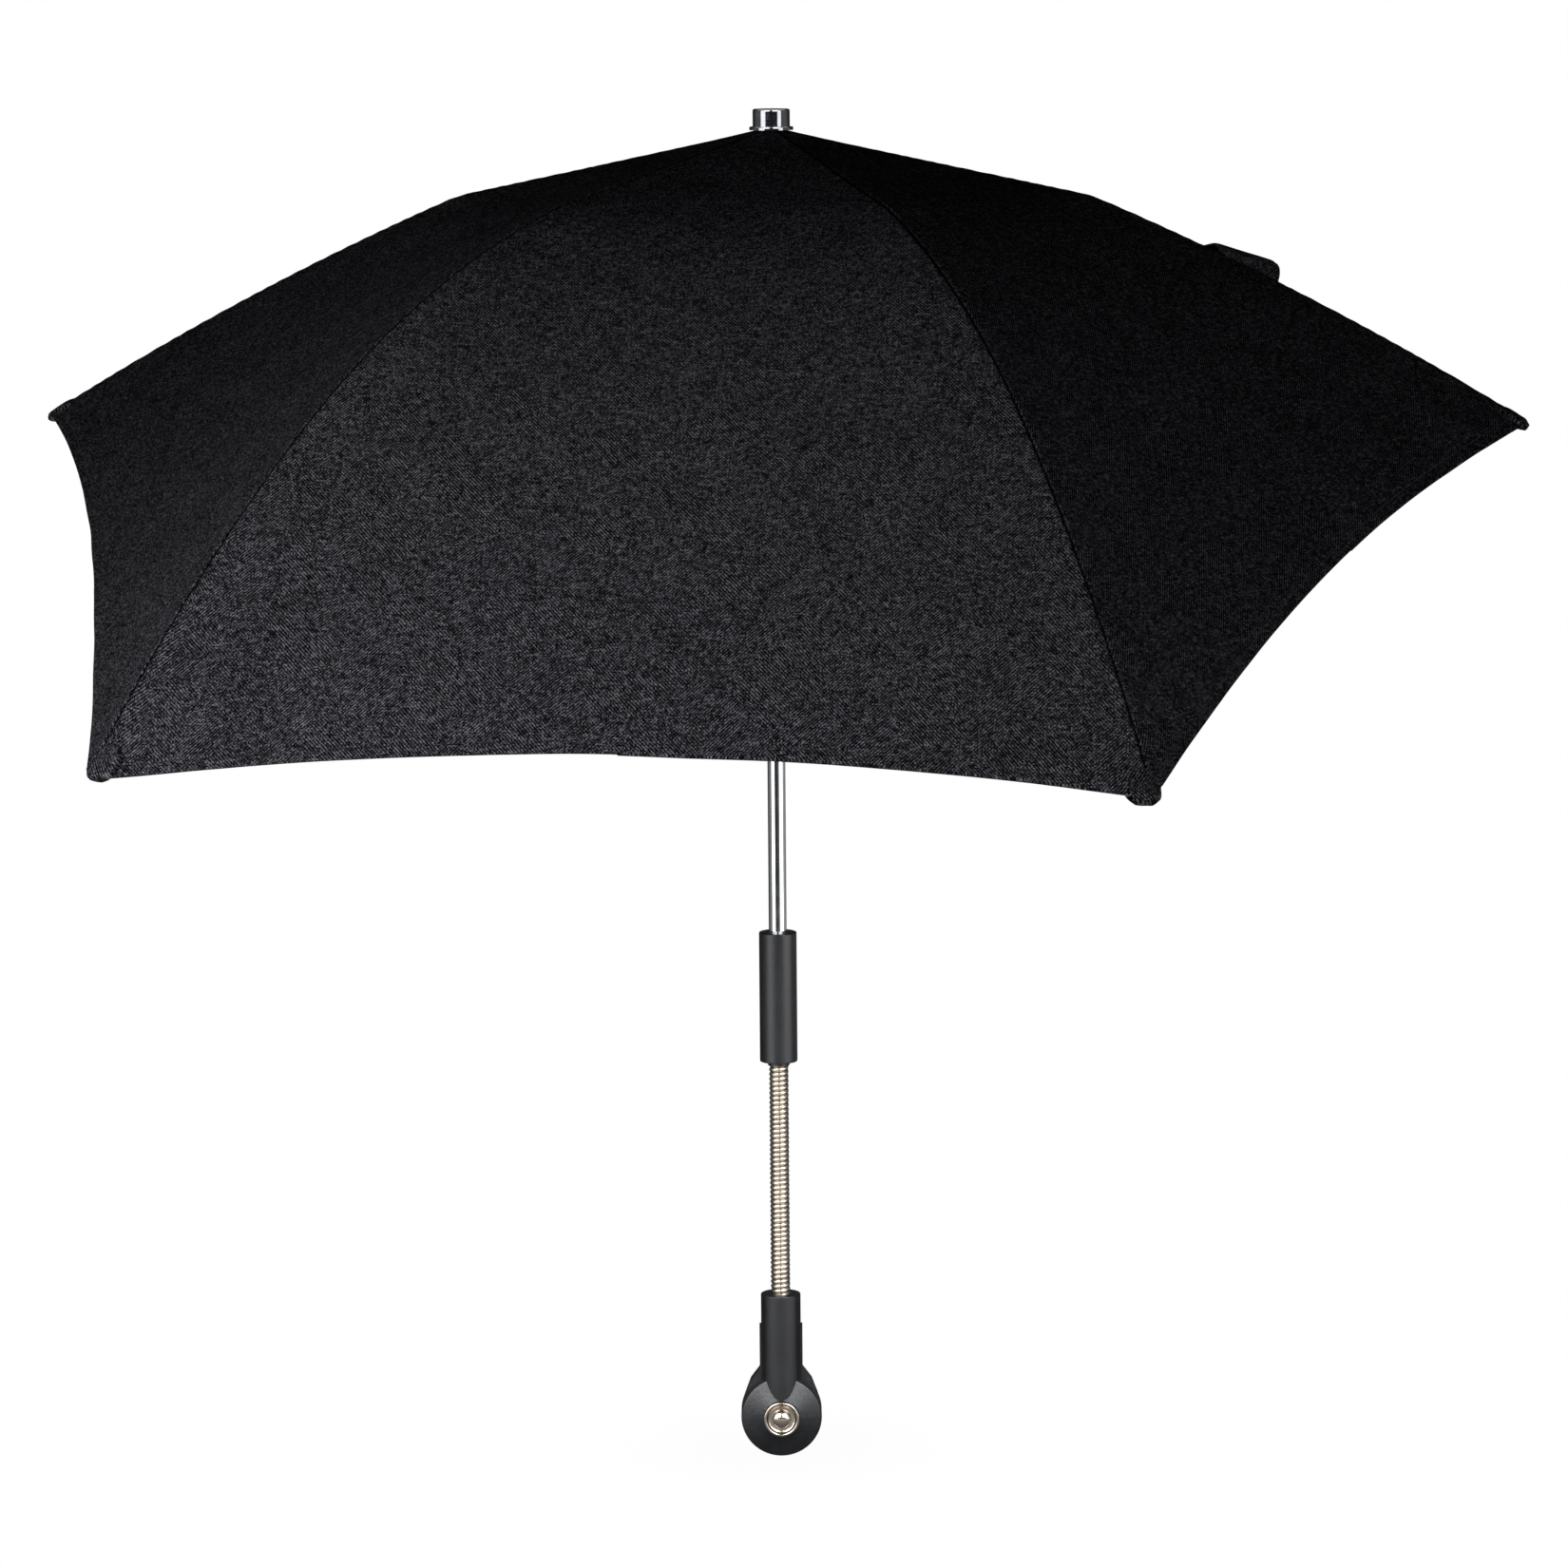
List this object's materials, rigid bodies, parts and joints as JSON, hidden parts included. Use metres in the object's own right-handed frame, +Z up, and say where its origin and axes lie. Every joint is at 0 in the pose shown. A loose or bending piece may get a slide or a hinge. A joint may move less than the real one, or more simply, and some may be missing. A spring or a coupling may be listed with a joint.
{
  "type": "pram parasol",
  "caption": "Folding shade for a pram: a melange cloth canopy on hinged ribs, a chrome pole on a bendable gooseneck arm and a swivelling plug-in foot.",
  "frame": {"origin": "middle of the foot plate's back face, on the spigot's axis", "axes": "+Z up along the pole, +Y out of the back of the foot along the spigot, +X to the right as seen from the front"},
  "size_m": [0.6942, 0.7518, 0.6424],
  "materials": {
    "charcoal_plastic": "fine matte texture",
    "black_plastic": "plain moulded",
    "grey_plastic": "plain moulded",
    "washer_plastic": "plain",
    "nickel": "nickel plated",
    "nickel_wire": "nickel plated wire",
    "chrome_pole": "polished",
    "dark_chrome": "polished",
    "steel": "plain",
    "black_wire": "black enamel",
    "cloth": "fine woven charcoal melange"
  },
  "bodies": {
    "foot": {"mount_plug": "black_plastic", "friction_washer": "washer_plastic", "pivot_rivet": "nickel", "cup_washer": "nickel"},
    "swivel": {"swivel_back": "charcoal_plastic", "swivel_head": "charcoal_plastic", "gooseneck_ferrule_low": "nickel"},
    "gooseneck": {"gooseneck_coil": "nickel_wire"},
    "pole": {"gooseneck_ferrule_top": "charcoal_plastic", "coupling_sleeve": "charcoal_plastic", "pole_tube": "chrome_pole", "crown": "black_plastic", "crown_pins": "steel", "cap_stud": "steel", "cap_flange": "dark_chrome", "top_cap": "dark_chrome"},
    "runner": {"runner": "black_plastic"},
    "button": {"runner_button": "grey_plastic"},
    "rib_right": {"rib_right": "black_wire", "rib_joint_right": "black_plastic", "rib_tip_right": "black_plastic"},
    "stretcher_right": {"stretcher_right": "black_wire"},
    "cloth_right_front": {"cloth_right_front": "cloth"},
    "cloth_right_back": {"cloth_right_back": "cloth", "closing_strap": "cloth"},
    "rib_back_right": {"rib_back_right": "black_wire", "rib_joint_back_right": "black_plastic", "rib_tip_back_right": "black_plastic"},
    "stretcher_back_right": {"stretcher_back_right": "black_wire"},
    "cloth_back_right_side": {"cloth_back_right_side": "cloth"},
    "cloth_back_right_back": {"cloth_back_right_back": "cloth"},
    "rib_back_left": {"rib_back_left": "black_wire", "rib_joint_back_left": "black_plastic", "rib_tip_back_left": "black_plastic"},
    "stretcher_back_left": {"stretcher_back_left": "black_wire"},
    "cloth_back_left_back": {"cloth_back_left_back": "cloth"},
    "cloth_back_left_side": {"cloth_back_left_side": "cloth"},
    "rib_left": {"rib_left": "black_wire", "rib_joint_left": "black_plastic", "rib_tip_left": "black_plastic"},
    "stretcher_left": {"stretcher_left": "black_wire"},
    "cloth_left_back": {"cloth_left_back": "cloth"},
    "cloth_left_front": {"cloth_left_front": "cloth"},
    "rib_front_left": {"rib_front_left": "black_wire", "rib_joint_front_left": "black_plastic", "rib_tip_front_left": "black_plastic"},
    "stretcher_front_left": {"stretcher_front_left": "black_wire"},
    "cloth_front_left_side": {"cloth_front_left_side": "cloth"},
    "cloth_front_left_front": {"cloth_front_left_front": "cloth"},
    "rib_front_right": {"rib_front_right": "black_wire", "rib_joint_front_right": "black_plastic", "rib_tip_front_right": "black_plastic"},
    "stretcher_front_right": {"stretcher_front_right": "black_wire"},
    "cloth_front_right_front": {"cloth_front_right_front": "cloth"},
    "cloth_front_right_side": {"cloth_front_right_side": "cloth"}
  },
  "joints": [
    {"name": "foot_swivel", "type": "hinge", "parent": "foot", "child": "swivel", "pos_m": [0, 0, 0], "axis": [0, 1, 0], "range_deg": [-90, 90]},
    {"name": "gooseneck_bend_low", "type": "hinge", "parent": "swivel", "child": "gooseneck", "pos_m": [0, -0.0165, 0.08705], "axis": [1, 0, 0], "range_deg": [-40, 40], "deforming": ["gooseneck_coil"]},
    {"name": "gooseneck_bend_top", "type": "hinge", "parent": "gooseneck", "child": "pole", "pos_m": [0, -0.0165, 0.14255], "axis": [0, 1, 0], "range_deg": [-40, 40], "deforming": ["gooseneck_coil"]},
    {"name": "runner_slide", "type": "slide", "parent": "pole", "child": "runner", "axis": [0, 0, 1], "range_m": [-0.186, 0]},
    {"name": "button_press", "type": "slide", "parent": "runner", "child": "button", "axis": [0, 1, 0], "range_m": [0, 0.0018], "stiffness_N_per_m": 800},
    {"name": "rib_right_fold", "type": "hinge", "parent": "pole", "child": "rib_right", "pos_m": [0.00936, -0.01815, 0.6083], "axis": [0.1736, 0.9848, 0], "range_deg": [0, 55]},
    {"name": "stretcher_right_fold", "type": "hinge", "parent": "rib_right", "child": "stretcher_right", "pos_m": [0.13689, -0.04064, 0.5778], "axis": [0.1736, 0.9848, 0], "range_deg": [-110, 0]},
    {"name": "cloth_right_front_fold", "type": "hinge", "parent": "rib_right", "child": "cloth_right_front", "pos_m": [0.00412, -0.02769, 0.60098], "axis": [-0.2957, -0.7672, 0.5691], "range_deg": [0, 23.03], "deforming": ["cloth_right_front"]},
    {"name": "cloth_right_back_fold", "type": "hinge", "parent": "rib_right", "child": "cloth_right_back", "pos_m": [0.00632, -0.01519, 0.60916], "axis": [0.055, -0.8289, -0.5566], "range_deg": [0, 21.39], "deforming": ["cloth_right_back", "closing_strap"]},
    {"name": "rib_back_right_fold", "type": "hinge", "parent": "pole", "child": "rib_back_right", "pos_m": [0.00611, -0.00922, 0.6083], "axis": [-0.766, 0.6428, 0], "range_deg": [0, 55]},
    {"name": "stretcher_back_right_fold", "type": "hinge", "parent": "rib_back_right", "child": "stretcher_back_right", "pos_m": [0.08935, 0.08998, 0.5778], "axis": [-0.766, 0.6428, 0], "range_deg": [-110, 0]},
    {"name": "cloth_back_right_side_fold", "type": "hinge", "parent": "rib_back_right", "child": "cloth_back_right_side", "pos_m": [0.00569, -0.01344, 0.60916], "axis": [0.4907, -0.6704, 0.5566], "range_deg": [0, 21.39], "deforming": ["cloth_back_right_side"]},
    {"name": "cloth_back_right_back_fold", "type": "hinge", "parent": "rib_back_right", "child": "cloth_back_right_back", "pos_m": [0.00203, -0.01037, 0.60916], "axis": [0.7454, -0.3668, -0.5566], "range_deg": [0, 21.39], "deforming": ["cloth_back_right_back"]},
    {"name": "rib_back_left_fold", "type": "hinge", "parent": "pole", "child": "rib_back_left", "pos_m": [-0.00325, -0.00757, 0.6083], "axis": [-0.9397, -0.342, 0], "range_deg": [0, 55]},
    {"name": "stretcher_back_left_fold", "type": "hinge", "parent": "rib_back_left", "child": "stretcher_back_left", "pos_m": [-0.04754, 0.11412, 0.5778], "axis": [-0.9397, -0.342, 0], "range_deg": [-110, 0]},
    {"name": "cloth_back_left_back_fold", "type": "hinge", "parent": "rib_back_left", "child": "cloth_back_left_back", "pos_m": [0.00019, -0.01005, 0.60916], "axis": [0.8259, 0.0898, 0.5566], "range_deg": [0, 21.39], "deforming": ["cloth_back_left_back"]},
    {"name": "cloth_back_left_side_fold", "type": "hinge", "parent": "rib_back_left", "child": "cloth_back_left_side", "pos_m": [-0.0043, -0.01168, 0.60916], "axis": [0.6904, 0.4621, -0.5566], "range_deg": [0, 21.39], "deforming": ["cloth_back_left_side"]},
    {"name": "rib_left_fold", "type": "hinge", "parent": "pole", "child": "rib_left", "pos_m": [-0.00936, -0.01485, 0.6083], "axis": [-0.1736, -0.9848, 0], "range_deg": [0, 55]},
    {"name": "stretcher_left_fold", "type": "hinge", "parent": "rib_left", "child": "stretcher_left", "pos_m": [-0.13689, 0.00764, 0.5778], "axis": [-0.1736, -0.9848, 0], "range_deg": [-110, 0]},
    {"name": "cloth_left_back_fold", "type": "hinge", "parent": "rib_left", "child": "cloth_left_back", "pos_m": [-0.00549, -0.01311, 0.60916], "axis": [0.3352, 0.7601, 0.5566], "range_deg": [0, 21.39], "deforming": ["cloth_left_back"]},
    {"name": "cloth_left_front_fold", "type": "hinge", "parent": "rib_left", "child": "cloth_left_front", "pos_m": [-0.0077, -0.02561, 0.60098], "axis": [-0.0155, 0.8221, -0.5691], "range_deg": [0, 23.03], "deforming": ["cloth_left_front"]},
    {"name": "rib_front_left_fold", "type": "hinge", "parent": "pole", "child": "rib_front_left", "pos_m": [-0.00611, -0.02378, 0.6083], "axis": [0.766, -0.6428, 0], "range_deg": [0, 55]},
    {"name": "stretcher_front_left_fold", "type": "hinge", "parent": "rib_front_left", "child": "stretcher_front_left", "pos_m": [-0.08935, -0.12298, 0.5778], "axis": [0.766, -0.6428, 0], "range_deg": [-110, 0]},
    {"name": "cloth_front_left_side_fold", "type": "hinge", "parent": "rib_front_left", "child": "cloth_front_left_side", "pos_m": [-0.01175, -0.01447, 0.60098], "axis": [-0.5166, 0.6397, 0.5691], "range_deg": [0, 23.03], "deforming": ["cloth_front_left_side"]},
    {"name": "cloth_front_left_front_fold", "type": "hinge", "parent": "rib_front_left", "child": "cloth_front_left_front", "pos_m": [0.00519, -0.02868, 0.60201], "axis": [-0.7038, 0.371, -0.6058], "range_deg": [0, 24.07], "deforming": ["cloth_front_left_front"]},
    {"name": "rib_front_right_fold", "type": "hinge", "parent": "pole", "child": "rib_front_right", "pos_m": [0.00325, -0.02543, 0.6083], "axis": [0.9397, 0.342, 0], "range_deg": [0, 55]},
    {"name": "stretcher_front_right_fold", "type": "hinge", "parent": "rib_front_right", "child": "stretcher_front_right", "pos_m": [0.04754, -0.14712, 0.5778], "axis": [0.9397, 0.342, 0], "range_deg": [-110, 0]},
    {"name": "cloth_front_right_front_fold", "type": "hinge", "parent": "rib_front_right", "child": "cloth_front_right_front", "pos_m": [-0.00904, -0.02618, 0.60201], "axis": [-0.7882, -0.1079, 0.6058], "range_deg": [0, 24.07], "deforming": ["cloth_front_right_front"]},
    {"name": "cloth_front_right_side_fold", "type": "hinge", "parent": "rib_front_right", "child": "cloth_front_right_side", "pos_m": [0.01174, -0.01861, 0.60098], "axis": [-0.7042, -0.4245, -0.5691], "range_deg": [0, 23.03], "deforming": ["cloth_front_right_side"]}
  ],
  "couplings": [
    {"joint": "rib_right_fold", "follows": "runner_slide", "rad_per_m": -5.1609},
    {"joint": "stretcher_right_fold", "follows": "runner_slide", "rad_per_m": 10.322},
    {"joint": "cloth_right_front_fold", "follows": "runner_slide", "rad_per_m": -2.161},
    {"joint": "cloth_right_back_fold", "follows": "runner_slide", "rad_per_m": -2.0071},
    {"joint": "rib_back_right_fold", "follows": "runner_slide", "rad_per_m": -5.1609},
    {"joint": "stretcher_back_right_fold", "follows": "runner_slide", "rad_per_m": 10.322},
    {"joint": "cloth_back_right_side_fold", "follows": "runner_slide", "rad_per_m": -2.0071},
    {"joint": "cloth_back_right_back_fold", "follows": "runner_slide", "rad_per_m": -2.0071},
    {"joint": "rib_back_left_fold", "follows": "runner_slide", "rad_per_m": -5.1609},
    {"joint": "stretcher_back_left_fold", "follows": "runner_slide", "rad_per_m": 10.322},
    {"joint": "cloth_back_left_back_fold", "follows": "runner_slide", "rad_per_m": -2.0071},
    {"joint": "cloth_back_left_side_fold", "follows": "runner_slide", "rad_per_m": -2.0071},
    {"joint": "rib_left_fold", "follows": "runner_slide", "rad_per_m": -5.1609},
    {"joint": "stretcher_left_fold", "follows": "runner_slide", "rad_per_m": 10.322},
    {"joint": "cloth_left_back_fold", "follows": "runner_slide", "rad_per_m": -2.0071},
    {"joint": "cloth_left_front_fold", "follows": "runner_slide", "rad_per_m": -2.161},
    {"joint": "rib_front_left_fold", "follows": "runner_slide", "rad_per_m": -5.1609},
    {"joint": "stretcher_front_left_fold", "follows": "runner_slide", "rad_per_m": 10.322},
    {"joint": "cloth_front_left_side_fold", "follows": "runner_slide", "rad_per_m": -2.161},
    {"joint": "cloth_front_left_front_fold", "follows": "runner_slide", "rad_per_m": -2.2586},
    {"joint": "rib_front_right_fold", "follows": "runner_slide", "rad_per_m": -5.1609},
    {"joint": "stretcher_front_right_fold", "follows": "runner_slide", "rad_per_m": 10.322},
    {"joint": "cloth_front_right_front_fold", "follows": "runner_slide", "rad_per_m": -2.2586},
    {"joint": "cloth_front_right_side_fold", "follows": "runner_slide", "rad_per_m": -2.161}
  ]
}
